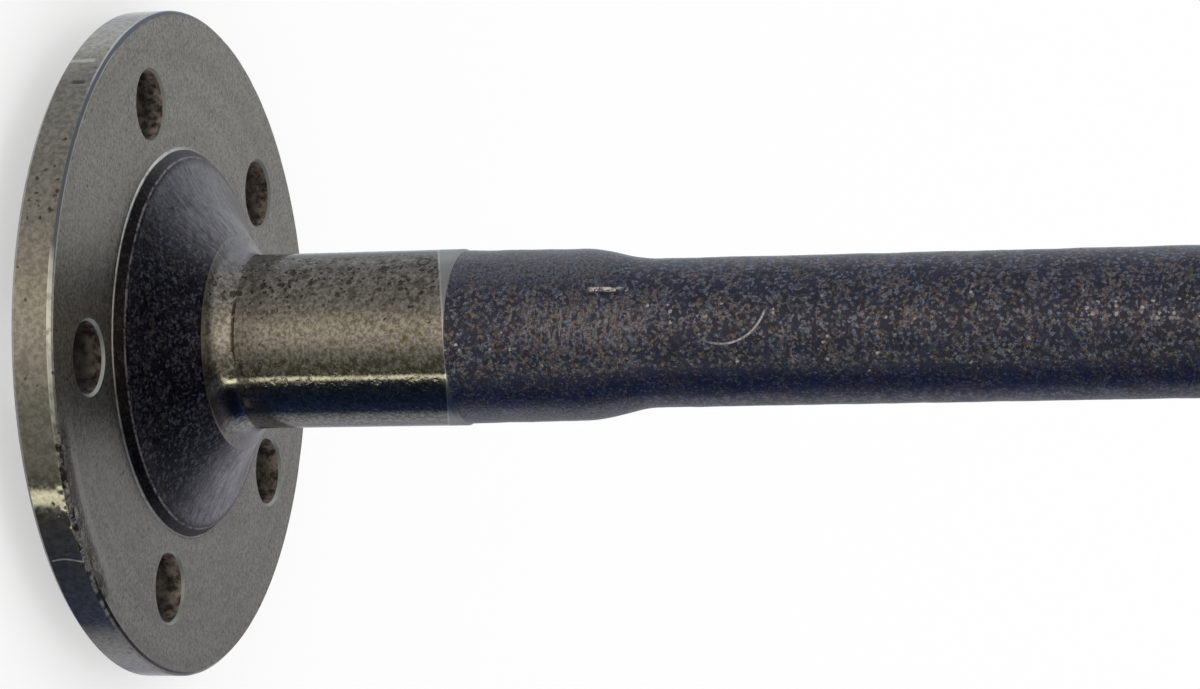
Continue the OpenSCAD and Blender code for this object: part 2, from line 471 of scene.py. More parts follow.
pitch_angle = TURN / teeth
half_root, half_mid, half_tip = (tooth_half_angle(r) for r in (root_r, mid_r, tip_r))
tooth_angles = [0, half_tip, half_mid, half_root, pitch_angle / 2,
                pitch_angle - half_root, pitch_angle - half_mid, pitch_angle - half_tip]
tooth_radii = [tip_r, tip_r, mid_r, root_r, root_r, root_r, mid_r, tip_r]
spline_angles = np.array([first_angle + k * pitch_angle + a
                          for k in range(teeth) for a in tooth_angles])
spline_radii = np.array(tooth_radii * teeth)
print(f"spline: {teeth} teeth, {2 * tip_r:.2f} mm over the tips")

# %% [markdown]
# Where the cutter lifts out, the roots climb along its round edge up to the tips, so
# the first rings only clip the outline from below. The last ring clips it from
# above, which makes the lead-in chamfer.

# %% Spline
runout_len, even_from, spline_chamfer = 9.0, 14.0, 1.4
climb = tip_r - root_r
cutter_r = (runout_len ** 2 + climb ** 2) / 2 / climb
runout_steps, even_steps, first_step = 9, 5, 0.02


def spline_ring(z, lowest=0.0, highest=tip_r):
    """A ring with the teeth's outline, kept between two radii."""
    return ring(z, np.clip(spline_radii, lowest, highest), len(spline_angles), spline_angles)


last = skin(last, spline_ring(spline_z, lowest=tip_r), CUT)
for height in (*np.linspace(0, runout_len, runout_steps),
               *np.linspace(even_from, spline_len - spline_chamfer, even_steps)):
    reach = max(runout_len - height, 0)
    root_now = root_r + cutter_r - math.sqrt(cutter_r ** 2 - reach ** 2)
    last = skin(last, spline_ring(spline_z + max(height, first_step), root_now), CUT)
last = skin(last, spline_ring(groove_z, highest=tip_r - spline_chamfer), CUT)
print("with the spline:", len(points), "points")

# %% [markdown]
# ## The clip end
#
# A C-shaped clip slides into the groove and holds the whole shaft in the axle. The
# groove has round corners, because a sharp one would start a crack, and the button
# beyond it takes the clip's push.

# %% Clip groove and button
groove_depth, groove_corner = 2.6, 0.8
button_step, button_chamfer = 0.7, 1.2
button_r = root_r - button_step
groove_floor_r = button_r - groove_depth + groove_corner
groove_rows = ([(groove_floor_r, groove_z)]
               + arc((groove_floor_r, groove_z + groove_corner), groove_corner, -90, -180, 5)[1:]
               + arc((groove_floor_r, button_z - groove_corner), groove_corner, 180, 90, 5)
               + [(button_r, button_z), (button_r, tip_z - button_chamfer),
                  (button_r - button_chamfer, tip_z)])
last = stack(groove_rows, JOURNAL, CUT, last)
last = stack([(centre_r, tip_z), (centre_drill_r, tip_z - cone_h)], SHAFT, CUT, last)
last = stack([(centre_drill_r, tip_z - centre_drill_depth)], SHAFT, BORE, last)
skin(last, ring(tip_z - centre_drill_depth, 0, 1), BORE)
print("whole forging:", len(points), "points,", len(skins), "faces")

# %% [markdown]
# ## The forged skin
#
# A forged surface is never quite round: scale presses into it and leaves soft hills
# of a tenth of a millimetre. A Displace modifier could make them, but it would need
# a group for the forged part. Here each point knows its finish, so the black areas
# alone are moved out or in by a smooth noise.

# %% Hills in the forged skin
cloud = np.array(points, float)
radius = np.hypot(cloud[:, 0], cloud[:, 1])
finish_of = np.full(len(cloud), -1)
for corners, finish in skins:
    finish_of[list(corners)] = np.maximum(finish_of[list(corners)], finish)


def hills(places, size, seed):
    """Smooth noise from -1 to 1 at each place. size is the size of its hills."""
    shift = Vector((seed * 17.3, seed * 5.1, seed * 11.7))
    return np.array([noise.noise(Vector(p) / size + shift) for p in places])


forged = np.flatnonzero((finish_of == SCALE) & (cloud[:, 2] > flange_t + 0.1))
swell = 0.10 * hills(cloud[forged], 6.0, 1) + 0.05 * hills(cloud[forged], 2.2, 2)
cloud[forged, :2] *= (1 + swell / radius[forged])[:, None]
print("forged points moved:", len(forged), "by up to", round(float(abs(swell).max()), 2), "mm")

# %% [markdown]
# ## Chips in the flange's edge
#
# The part was dropped on the sharp edge of its flange, and that edge is chipped
# between two angles. Chips are shape and not paint, because they show against the
# background. The edge's own points are pushed in by a finer noise, and all round it
# a very light wear breaks the perfect circle.

# %% Chipped edge
chip_from, chip_to, chip_border = -13.0, -50.0, 4.0
chip_depth, wear_depth, chip_drop = 0.62, 0.08, 0.6
chamfer_z = flange_t - rim_chamfer
on_edge = np.flatnonzero((radius > flange_r - rim_chamfer - 0.05)
                         & (cloud[:, 2] > chamfer_z - 0.3) & (cloud[:, 2] < flange_t + 0.01))
edge = cloud[on_edge]
own_angle = np.arctan2(edge[:, 1], edge[:, 0])
around = np.degrees((facing - own_angle + math.pi) % TURN - math.pi)
in_chips = (np.clip((around - chip_to) / chip_border, 0, 1)
            * np.clip((chip_from - around) / chip_border, 0, 1))
bite = np.clip(hills(edge, 3.1, 3) + 0.35 * hills(edge, 1.3, 4) + 0.22, 0, 1)
wear = wear_depth * np.clip(hills(edge, 4.0, 5), 0, 1)
depth = chip_depth * bite * in_chips + wear
cloud[on_edge, :2] *= (1 - depth / radius[on_edge])[:, None]
cloud[on_edge, 2] -= chip_drop * depth * (edge[:, 2] > chamfer_z + 0.05)
print("chipped points:", int((depth > 0.1).sum()))

# %% [markdown]
# ## Into Blender
#
# The points and faces become one mesh object. `recalc_face_normals` turns every face
# outwards, and edges that turn by more than 32 degrees are marked sharp, so that the
# machined corners stay crisp while the round parts shade smoothly.

# %% Make the mesh object
sharp_angle = math.radians(32)
mesh = bpy.data.meshes.new("axle_shaft_forging")
mesh.from_pydata([tuple(p) for p in cloud * MM], [], [corners for corners, _ in skins])
mesh.polygons.foreach_set("material_index", [finish for _, finish in skins])
shaper = bmesh.new()
shaper.from_mesh(mesh)
bmesh.ops.recalc_face_normals(shaper, faces=shaper.faces)
open_edges = [e for e in shaper.edges if not e.is_manifold]
volume = round(shaper.calc_volume() / MM ** 3)
shaper.to_mesh(mesh)
shaper.free()
mesh.shade_smooth()
mesh.set_sharp_from_angle(angle=sharp_angle)
forging = bpy.data.objects.new("axle_shaft_forging", mesh)
bpy.context.scene.collection.objects.link(forging)
print("triangles:", sum(len(p.vertices) - 2 for p in mesh.polygons))
print("edges that don't join two faces:", len(open_edges), "volume in mm3:", volume)

# %% [markdown]
# ## Small tools for materials
#
# A procedural material is a graph of nodes, and each output of a node is a field: a
# number, a colour or a place that varies over the surface. The class below wraps one
# output, so that a plus or a times sign between two fields makes the Math node and
# its links. The finishes can then be read like recipes.

# %% Fields and nodes
class Field:
    """One output of a node. Fields can be added, subtracted and multiplied."""

    def __init__(self, tree, socket):
        self.tree, self.socket = tree, socket

    def beside(self, output):
        """Another output of the same node."""
        return Field(self.tree, self.socket.node.outputs[output])

    def __add__(self, other):
        return calculate("ADD", self, other)

    def __sub__(self, other):
        return calculate("SUBTRACT", self, other)

    def __rsub__(self, other):
        return calculate("SUBTRACT", other, self)

    def __mul__(self, other):
        return calculate("MULTIPLY", self, other)


def feed(socket, value):
    """Joins a field to a socket, or sets the socket to a plain number or colour."""
    if isinstance(value, Field):
        value.tree.links.new(value.socket, socket)
    elif socket.type == "RGBA":
        socket.default_value = (*value, 1.0)
    else:
        socket.default_value = value


def new_node(kind, inputs, output=0, tree=None, **options):
    """Adds a node beside the fields that feed it, and returns one of its outputs."""
    if tree is None:
        tree = next(value.tree for value in inputs.values() if isinstance(value, Field))
    node = tree.nodes.new(kind)
    for name, option in options.items():
        setattr(node, name, option)
    for name, value in inputs.items():
        feed(node.inputs[name], value)
    return Field(tree, node.outputs[output])


def calculate(operation, a, b=0.0):
    """A Math node. operation is Blender's own name for what it does, such as MULTIPLY."""
    return new_node("ShaderNodeMath", {0: a, 1: b}, operation=operation)


print("signs that two fields understand: + - *")

# %% [markdown]
# Most of a recipe is made of a few steps: a noise for the grain, a smooth ramp that
# turns it into a share from 0 to 1, and paint laid on by that share. Sizes are in
# millimetres of the real surface.

# %% Helpers for grain, paint and relief
# A Mix node has inputs for numbers, places and colours: these are its colour ones
MIX_UNDER, MIX_OVER, MIX_COLOUR = 6, 7, 2


def grain(where, size, detail=3.0, rough=0.55):
    """Noise from 0 to 1 with patches of about that size."""
    inputs = {"Vector": where, "Scale": 1 / size, "Detail": detail, "Roughness": rough}
    return new_node("ShaderNodeTexNoise", inputs, "Fac")


def between(value, start, end, low=0.0, high=1.0):
    """Goes smoothly from low to high as value goes from start to end."""
    inputs = {"Value": value, "From Min": start, "From Max": end, "To Min": low, "To Max": high}
    return new_node("ShaderNodeMapRange", inputs, "Result", interpolation_type="SMOOTHSTEP")


def paint(share, under, over):
    """Lays the colour over on the colour under, by share."""
    inputs = {0: share, MIX_UNDER: under, MIX_OVER: over}
    return new_node("ShaderNodeMix", inputs, MIX_COLOUR, data_type="RGBA")


def coats(colour, *layers):
    """Lays coats of paint on a colour. Each is where it lies, how densely, and its colour."""
    for where, density, over in layers:
        colour = paint(where * density, colour, over)
    return colour


def tint(colour, factor):
    """Makes a colour lighter or darker by a factor."""
    return new_node("ShaderNodeVectorMath", {0: colour, "Scale": factor}, operation="SCALE")


def relief(*layers):
    """Bumps laid on each other. Each is a height from 0 to 1 and its depth in millimetres."""
    under = {}
    for height, depth in layers:
        bump = new_node("ShaderNodeBump", {"Height": height, "Distance": depth * MM, **under})
        under = {"Normal": bump}
    return bump


print("steps of a recipe: grain, between, paint, coats, tint, relief")

# %% [markdown]
# Every recipe needs to know where on the part it is. Blender gives a point's own
# coordinates, and these are turned once into millimetres up the part, millimetres
# from its axis and degrees round from the front.

# %% Where a point of the surface is
class Places:
    """Where a point of the surface is, in millimetres and degrees."""

    def __init__(self, tree):
        metres = new_node("ShaderNodeTexCoord", {}, "Object", tree)
        in_mm = {0: metres, "Scale": 1 / MM}
        self.place = new_node("ShaderNodeVectorMath", in_mm, operation="SCALE")
        x = new_node("ShaderNodeSeparateXYZ", {0: self.place}, "X")
        y, self.z = x.beside("Y"), x.beside("Z")
        self.r = calculate("SQRT", x * x + y * y)
        self.front = x * math.cos(facing) + y * math.sin(facing)
        self.side = x * math.sin(facing) - y * math.cos(facing)
        self.turn = calculate("ARCTAN2", self.side, self.front)
        self.angle = self.turn * math.degrees(1)
        self.around = self.r * self.turn

    def rings(self, stretch):
        """A place for noise that is drawn out into rings round the axis, as a tool leaves them."""
        return new_node("ShaderNodeCombineXYZ", {0: self.r, 1: self.z, 2: self.turn * stretch})

    def away_from(self, z, around):
        """How far the surface is from a mark at height z, that far round the bar."""
        up, across = self.z - z, self.around - around
        return calculate("SQRT", up * up + across * across)


def new_finish(name, metal):
    """A material, its shader and the places on its surface."""
    material = bpy.data.materials.new(name)
    material.use_nodes = True
    shader = material.node_tree.nodes["Principled BSDF"]
    shader.inputs["Metallic"].default_value = metal
    return material, shader, Places(material.node_tree)


def dress(shader, colour, roughness, normal):
    """Gives a shader the three fields that every finish here has."""
    feed(shader.inputs["Base Color"], colour)
    feed(shader.inputs["Roughness"], roughness)
    feed(shader.inputs["Normal"], normal)


def tell(material, stage):
    """Prints how far a finish is and how many nodes it has by then."""
    print(f"{material.name}, {stage}: {len(material.node_tree.nodes)} nodes")


print("a place is known by: place, z, r, front, side, angle, around")

# %% [markdown]
# A mark lies between two limits, or near a line. These helpers give a share that is
# 1 on the mark and fades to 0 beside it.

# %% Helpers for marks
def span(value, low, high, soft):
    """1 between low and high, 0 outside, over a soft border."""
    return between(value, low - soft, low) * between(value, high + soft, high)


def near(value, middle, half_width):
    """1 where value is at middle, going to 0 at half_width from it."""
    away = calculate("ABSOLUTE", value - middle)
    return between(away, half_width, half_width * 0.4)


def either(*shares):
    """The largest of the shares at each point."""
    result = shares[0]
    for share in shares[1:]:
        result = calculate("MAXIMUM", result, share)
    return result


print("shapes of a mark: span, near, either")

# %% [markdown]
# Rust pits and flakes are separate spots, not a haze, so they come from a Voronoi
# texture: each of its cells has a chance number of its own, and a spot is drawn in
# the cells whose number is below a share. A little wobble keeps them from being round.

# %% Helpers for spots
WOBBLES_PER_CELL, WOBBLE_SHARE = 1.6, 0.45


def cells(where, size, wobble):
    """Cells of about that size: how far from a cell's middle, and the cell's chance number."""
    wobble_scale = WOBBLES_PER_CELL / size
    shift = new_node("ShaderNodeTexNoise", {"Vector": where, "Scale": wobble_scale}, "Color")
    inputs = {0: shift, 1: (2 * wobble,) * 3, 2: where}
    where = new_node("ShaderNodeVectorMath", inputs, operation="MULTIPLY_ADD")
    away = new_node("ShaderNodeTexVoronoi", {"Vector": where, "Scale": 1 / size}, "Distance")
    return away, new_node("ShaderNodeSeparateXYZ", {0: away.beside("Color")})


def spots(where, size, share, spread=0.42):
    """Soft spots from 0 to 1 in a share of the cells."""
    away, chance = cells(where, size, size * WOBBLE_SHARE)
    return between(away, spread, spread * 0.5) * calculate("LESS_THAN", chance, share)


print("a spot's outline moves by up to", WOBBLE_SHARE, "of its cell")

# %% [markdown]
# ## Turned face
#
# The flange's faces were turned on a lathe, so they carry very fine rings. Handling
# has left them an even warm grey with small dark specks. A picture of steel could be
# wrapped round them, but it would show its seams, and noise has none.

# %% Turned face
face_material, shader, at = new_finish("turned_face", metal=1.0)
warm_grey, pale_grey = (0.220, 0.212, 0.194), (0.282, 0.274, 0.255)
tool_rings = grain(at.rings(6), 0.5, 2.0)
wide_rings = grain(at.rings(2), 3.0, 2.0)
mottle = grain(at.place, 0.7, 4.0, 0.75)
stain = grain(at.place, 15.0, 3.0)
specks = spots(at.place, 1.5, 0.10, 0.36)
colour = paint(stain, warm_grey, pale_grey)
colour = tint(colour, between(mottle, 0.38, 0.62, 0.58, 1.48))
colour = tint(colour, between(wide_rings, 0.35, 0.65, 0.94, 1.06))
colour = tint(colour, between(at.side, -20, 25, 1.0, 1.09))
tell(face_material, "plain")

# %% [markdown]
# Two marks are its own. The thin lip at the hub is painted as a bright highlight where
# the facing tool stopped, and the outer edge is battered and rubbed between the chips.

# %% Marks on the turned face
speck_brown, bruise_brown = (0.055, 0.045, 0.040), (0.065, 0.050, 0.042)
rubbed_grey, lip_highlight_silver = (0.420, 0.400, 0.380), (0.86, 0.88, 0.84)
battered_low, battered_high = -44, -15
battered_zone = span(at.angle, battered_low, battered_high, 4)
battered = (between(at.r, flange_r - 6.2, flange_r - 2.6) * battered_zone
            * between(grain(at.rings(30), 2.0, 4.0, 0.75), 0.44, 0.56))
rubbed = span(at.r, flange_r - 7.4, flange_r - 5.6, 0.8) * battered_zone
# painted highlight: a bright line on the lip, mostly on its front and upper side
lip = (span(at.r, boss_r + 0.05, boss_r + lip_w, 0.1) * span(at.angle, -30, 60, 45)
       * between(grain(at.place, 4.0), 0.30, 0.5, 0.45, 1.0))
colour = coats(colour, (specks, 0.55, speck_brown), (battered, 0.80, bruise_brown),
               (rubbed, 0.28, rubbed_grey), (lip, 1.0, lip_highlight_silver))
dress(shader, colour, between(mottle, 0.3, 0.7, 0.30, 0.46),
      relief((tool_rings, 0.010), (mottle, 0.045), (1 - battered, 0.12), (1 - specks, 0.03)))
tell(face_material, "with its lip and its battered edge")

# %% [markdown]
# ## Turned edge
#
# The rim was turned smooth and is the shiniest place. It has a patch of brown pits,
# a dark nick and a bright one near the top, and a bowed scratch across its lower
# side. The nicks and the scratch are bands across the rim, cut off by height.

# %% Turned edge
edge_material, shader, at = new_finish("turned_edge", metal=0.93)
edge_grey, edge_pale = (0.255, 0.240, 0.206), (0.320, 0.308, 0.278)
rust_brown, nick_brown = (0.060, 0.042, 0.028), (0.050, 0.042, 0.035)
nick_silver, scratch_silver = (0.75, 0.75, 0.70), (0.70, 0.72, 0.70)
nick_around, bright_nick_around = 64.0, 72.4
scratch_around, scratch_middle_z, scratch_bow = -49.2, 4.6, 0.055
mottle = grain(at.place, 1.2, 4.0, 0.7)
stain = grain(at.place, 9.0, 3.0)
pit_patch = span(at.angle, 19, 29, 3) * span(at.z, 2.5, 8.4, 1)
pits = either(spots(at.place, 1.4, 0.05, 0.36), spots(at.place, 1.6, 0.55) * pit_patch)
nick = (near(at.around, nick_around, 1.0) * span(at.z, 4.4, 7.0, 0.7)
        * between(mottle, 0.32, 0.46))
bright_nick = (near(at.around, bright_nick_around, 0.9) * span(at.z, 0.8, 6.4, 0.5)
               * between(mottle, 0.34, 0.54))
from_middle = at.z - scratch_middle_z
scratch = (near(at.around + from_middle * from_middle * scratch_bow, scratch_around, 0.32)
           * span(at.z, 1.6, 8.2, 0.3))
colour = paint(stain, edge_grey, edge_pale)
colour = tint(colour, between(mottle, 0.36, 0.64, 0.76, 1.24))
# painted light: the rim's upper side is made up to half again lighter
colour = tint(colour, between(at.angle, 46, 72, 1.0, 1.5))
colour = coats(colour, (pits, 0.80, rust_brown), (nick, 0.80, nick_brown),
               (bright_nick, 0.70, nick_silver), (scratch, 0.75, scratch_silver))
tell(edge_material, "with its pits, nicks and scratch")

# %% [markdown]
# The chamfer on the flange's inboard edge tells the part's story, with some light and
# shade painted on. Above the middle it is a dull blue painted reflection between two
# thin painted highlights on its corners, in the middle its outer corner is worn bright
# and painted as a highlight, below that it is chipped and at the bottom it is painted
# dark as shade. The heights are counted from where the chamfer starts, so they move
# with it.

# %% Worn chamfer, with painted highlights, a painted reflection and painted shade
painted_reflection_blue, corner_highlight_silver = (0.165, 0.175, 0.205), (0.62, 0.63, 0.60)
worn_highlight_silver, chamfer_shade_black = (0.740, 0.770, 0.730), (0.022, 0.018, 0.026)
chip_brown, chip_silver = (0.030, 0.022, 0.019), (0.56, 0.54, 0.50)
up_chamfer = at.z - chamfer_z
# painted reflection: a dull blue band on the chamfer above the front
blue_reflection_band = between(up_chamfer, 0.12, 0.26) * between(at.angle, 9, 15)
# painted highlights: thin bright lines on the chamfer's two corners
inner_corner_highlight = near(up_chamfer, rim_chamfer, 0.22) * span(at.angle, 14, 56, 5)
outer_corner_highlight = near(up_chamfer, 0.02, 0.24) * between(at.angle, 40, 50)
corners = either(inner_corner_highlight, outer_corner_highlight) * between(stain, 0.32, 0.50, 0.4, 1.0)
# the worn outer corner at the front, painted bright as a highlight
worn_corner_highlight = (span(up_chamfer, -0.20, 0.45, 0.14) * span(at.angle, -12, 13, 4)
               * between(grain(at.place, 3.0, 3.0), 0.34, 0.52, 0.45, 1.0))
chip_zone = between(up_chamfer, -0.35, 0.0) * span(at.angle, -50, -15, 3)
chip_marks = grain(at.place, 2.8, 3.0, 0.65)
# painted shade: a dark line on the chamfer at the bottom
chamfer_shade = between(up_chamfer, 0.35, 0.50) * between(at.angle, -38, -46)
colour = coats(colour, (blue_reflection_band, 1.0, painted_reflection_blue), (corners, 0.75, corner_highlight_silver),
               (chip_zone * between(chip_marks, 0.51, 0.56), 0.85, chip_brown),
               (chip_zone * span(chip_marks, 0.40, 0.46, 0.03), 0.80, chip_silver),
               (worn_corner_highlight, 0.85, worn_highlight_silver), (chamfer_shade, 0.90, chamfer_shade_black))
tell(edge_material, "with its chamfer")

# %% [markdown]
# The chamfers of the stud holes share this finish, but were cut by a drill and are
# pale and matt. They lie further in than the rim, so the radius tells them apart.

# %% Mouths of the holes, and the edge's shine
mouth_pale = (0.500, 0.525, 0.490)
mouths_reach = stud_circle_r + mouth_r
hole_edge = between(at.r, mouths_reach + 2, mouths_reach)
colour = paint(hole_edge, colour, mouth_pale)
dull = either(chip_zone, blue_reflection_band, scratch, bright_nick)
shine = between(mottle, 0.3, 0.7, 0.06, 0.13) + dull * 0.36 + hole_edge * 0.40
dress(shader, colour, shine, relief((mottle, 0.003), (1 - nick, 0.15), (1 - pits, 0.05)))
tell(edge_material, "with its shine")

# %% [markdown]
# ## Forging scale
#
# Steel comes out of the die with a hard black skin of oxide. It isn't a metal to
# look at: it is a dark blue stone that shines only where it is seen at a slant,
# which, with a sheen painted on its flanks further on, is why the top of the hub is
# light and its side is black. So the shader is not metallic here, except where the
# steel shows through.

# %% Forging scale
scale_material, shader, at = new_finish("forging_scale", metal=0.0)
shader.inputs["IOR"].default_value = 1.5
hub_black, shaft_black = (0.0135, 0.0135, 0.0220), (0.0045, 0.0060, 0.0210)
on_shaft = between(at.z, ground_z + 2, journal_z + 2)
flakes = grain(at.place, 0.65, 4.0, 0.85)
bloom = grain(at.place, 6.0, 3.0)
colour = paint(on_shaft, hub_black, shaft_black)
colour = tint(colour, between(bloom, 0.3, 0.7, 0.70, 1.35))
colour = tint(colour, between(flakes, 0.36, 0.64, 0.40, 1.8))
tell(scale_material, "black")

# %% [markdown]
# Small flakes of the scale have come off and show tan and blue-grey steel. They are
# cells whose chance number is high or low. A slow noise called drifts makes them
# come in crowds, and the hub, which kept the thickest skin, has few.

# %% Flakes
flake_tan, flake_grey = (0.246, 0.208, 0.192), (0.238, 0.262, 0.330)
worn_zone = span(at.z, 97, 117, 9) * span(at.angle, -22, 26, 14)
drifts = between(grain(at.place, 8.0, 3.0, 0.65), 0.34, 0.66, -0.17, 0.15)
_, chance = cells(at.place, 0.72, 0.34)
ragged_flakes = between(flakes, 0.42, 0.58, 0.1, 1.0)
tan_flakes = (between(chance + drifts + worn_zone * 0.16, 0.70, 0.86) * ragged_flakes
              * between(on_shaft, 0.0, 1.0, 0.24, 1.0))
grey_flakes = (between(chance, 0.30, 0.12) * ragged_flakes
               * between(on_shaft, 0.0, 1.0, 0.32, 1.0))
colour = coats(colour, (tan_flakes, 0.90, flake_tan), (grey_flakes, 0.90, flake_grey))
tell(scale_material, "with its flakes")

# %% [markdown]
# Larger spots of bare steel lie on the side that was handled most, and one patch far
# up the shaft is almost bare. A band on the low side is painted blue-black as shade.

# %% Bare spots and painted shade on the low side
bare_steel, shade_blue = (0.430, 0.405, 0.380), (0.0030, 0.0065, 0.0270)
bare_patch = span(at.z, 222, 241, 7) * span(at.angle, 5, 16, 7)
bare_zone = either(bare_patch, between(drifts, 0.0, 0.09)) * span(at.angle, -30, 25, 12)
bare_spots = (spots(at.place, 1.25, bare_patch * 0.30 + 0.12) * on_shaft * bare_zone
              * between(flakes, 0.34, 0.54))
# painted shade: a blue-black band on the shaft's low side
low_side_shade = on_shaft * span(at.angle, -54, -30, 6)
colour = coats(colour, (bare_spots, 0.85, bare_steel),
               (low_side_shade, between(flakes, 0.40, 0.60, 0.85, 0.15), shade_blue))
tell(scale_material, "with its bare spots")

# %% [markdown]
# Three marks on the shaft are this one's own: a rubbed patch on the barrel, a short
# gouge in the taper with its shadow below, and a curved scratch just beyond it,
# which is part of a circle about a place beside it.

# %% Marks on the shaft
rubbed_steel, gouge_shadow = (0.225, 0.215, 0.212), (0.004, 0.003, 0.004)
gouge_pink, scratch_grey = (0.560, 0.500, 0.480), (0.400, 0.370, 0.355)
gouge_around, gouge_low, gouge_high = 10.3, 110.4, 116.6
scratch_z, scratch_around, scratch_r = 139.0, 7.4, 10.05
rubbed = (span(at.z, 100, 116, 7) * span(at.angle, -4, 17, 10)
          * between(grain(at.rings(3.5), 0.9, 3.0, 0.7), 0.46, 0.62)
          * between(flakes, 0.38, 0.56))
gouge_len = (span(at.z, gouge_low, gouge_high, 1.6)
             * between(grain(at.place, 1.1, 3.0, 0.7), 0.42, 0.54))
gouge = gouge_len * near(at.around, gouge_around, 0.8)
gouge_shade = gouge_len * near(at.around, gouge_around - 1, 0.8)
turn_there = calculate("ARCTAN2", at.around - scratch_around, at.z - scratch_z)
turn_there = turn_there * math.degrees(1)
scratch = (near(at.away_from(scratch_z, scratch_around), scratch_r, 0.32)
           * between(turn_there, -128, -75) * between(turn_there, -12, -24)
           * between(flakes, 0.32, 0.52, 0.25, 1.0))
colour = coats(colour, (rubbed, 0.60, rubbed_steel), (gouge_shade, 0.90, gouge_shadow),
               (gouge, 0.95, gouge_pink), (scratch, 0.95, scratch_grey))
tell(scale_material, "with its marks")

# %% [markdown]
# The step round the hub has a wall of its own colour: brown, painted black as shade
# where it faces the camera, and with a pale line along its edge, worn and painted as a highlight.

# %% Step round the hub
wall_brown, wall_shade_black = (0.060, 0.052, 0.050), (0.0100, 0.0080, 0.0075)
step_worn_highlight = (0.240, 0.218, 0.224)
wall = between(at.r, boss_top_r + 0.1, boss_top_r + 0.35) * between(at.z, boss_z + 1, boss_z)
in_shade = between(at.angle, 82, 48) * between(at.angle, -120, -85)
worn_edge_highlight = (near(at.r, boss_top_r + 0.05, 0.28)
             * between(grain(at.place, 2.6, 4.0, 0.7), 0.40, 0.56, 0.15, 1.0))
# painted shade: the wall is black where it faces the camera; painted highlight along the worn edge
colour = coats(colour, (wall, 0.85, paint(in_shade, wall_brown, wall_shade_black)),
               (worn_edge_highlight, 1.0, step_worn_highlight))
tell(scale_material, "with the hub's step")

# %% [markdown]
# Dust has settled on the upper and lower flanks of the hub, in streaks that run
# round it, and a sheen is painted there too, palest near the shaft and on the low
# side. The barrel's flanks are painted pale as well, as a sheen.

# %% Dust and painted sheen on the flanks
dust_and_sheen_blue, dust_and_sheen_pale = (0.185, 0.179, 0.205), (0.290, 0.275, 0.290)
barrel_sheen_grey = (0.150, 0.150, 0.170)
dust_and_sheen_side = either(between(at.angle, 26, 82), between(at.angle, -56, -100))
streaks = between(grain(at.rings(200), 6.0, 4.0, 0.7), 0.36, 0.58, 0.45, 1.0)
# dust with a painted sheen on the hub's upper and lower flanks
dust_and_sheen = (dust_and_sheen_side * between(at.z, 24, 22) * between(at.r, boss_top_r, boss_top_r - 2)
         * between(grain(at.place, 2.2, 4.0, 0.7), 0.32, 0.60, 0.55, 1.0) * streaks)
dust_and_sheen_colour = paint(between(at.r, 40, 26), dust_and_sheen_blue, dust_and_sheen_pale)
# painted light: paler towards the low side
dust_and_sheen_colour = tint(dust_and_sheen_colour, between(at.angle, 0, -60, 1.0, 1.65))
flanks = either(between(at.angle, 26, 48), between(at.angle, -46, -62))
# painted sheen on the barrel's flanks
barrel_sheen = flanks * span(at.z, 78, 108, 8) * between(flakes, 0.40, 0.60)
colour = coats(colour, (dust_and_sheen, 1.0, dust_and_sheen_colour), (barrel_sheen, 0.55, barrel_sheen_grey))
tell(scale_material, "with its dust")

# %% [markdown]
# Last come shine and relief. On the shaft only the flakes are metal. On the hub it
# is the other way about: its thick skin has a dark metallic shine between them.

# %% Shine of the scale
flaked = either(tan_flakes, grey_flakes)
hub_metal = (1 - on_shaft) * (0.92 - flaked * 0.8)
flake_metal = on_shaft * between(flaked, 0.0, 0.5, 0.0, 0.85)
feed(shader.inputs["Metallic"], hub_metal + flake_metal)
dress(shader, colour, between(flakes, 0.3, 0.7, 0.17, 0.31) + hub_metal * 0.09,
      relief((bloom, 0.10), (flakes, 0.07), (1 - gouge_shade, 0.25)))
tell(scale_material, "with its shine")

# %% [markdown]
# ## Ground journal
#
# The bearing runs on this band. It was ground to a satin shine and has since been
# pitted by rust, most of all on its upper side. Three sizes of noise make the stain,
# the mottle and the fine rings of the grinding wheel.

# %% Ground journal
ground_material, shader, at = new_finish("ground_journal", metal=1.0)
satin_grey, satin_pale = (0.225, 0.212, 0.185), (0.300, 0.288, 0.262)
wheel_rings = grain(at.rings(8), 0.4, 2.0)
mottle = grain(at.place, 0.9, 4.0, 0.75)
stain = grain(at.place, 7.0, 3.0)
rusty = between(at.side, 3, 13)
colour = paint(stain, satin_grey, satin_pale)
colour = tint(colour, between(mottle, 0.38, 0.62, 0.60, 1.38))
colour = tint(colour, between(rusty, 0.0, 1.0, 1.04, 0.98))
colour = tint(colour, between(at.side, 14, 19, 1.0, 0.60))
# painted light: up to a third lighter near the fillet, against the hub's dark reflection
colour = tint(colour, between(at.z, journal_z + 6, journal_z + 1, 1.0, 1.35))
tell(ground_material, "satin")

# %% [markdown]
# The rust pits come in two sizes by chance, and a few stand where the photograph has
# them. One of these is a thin ring, as a drop of water leaves when it dries.

# %% Rust pits
ring_pit_z, ring_pit_around, ring_pit_r = 69.9, 20.2, 1.35
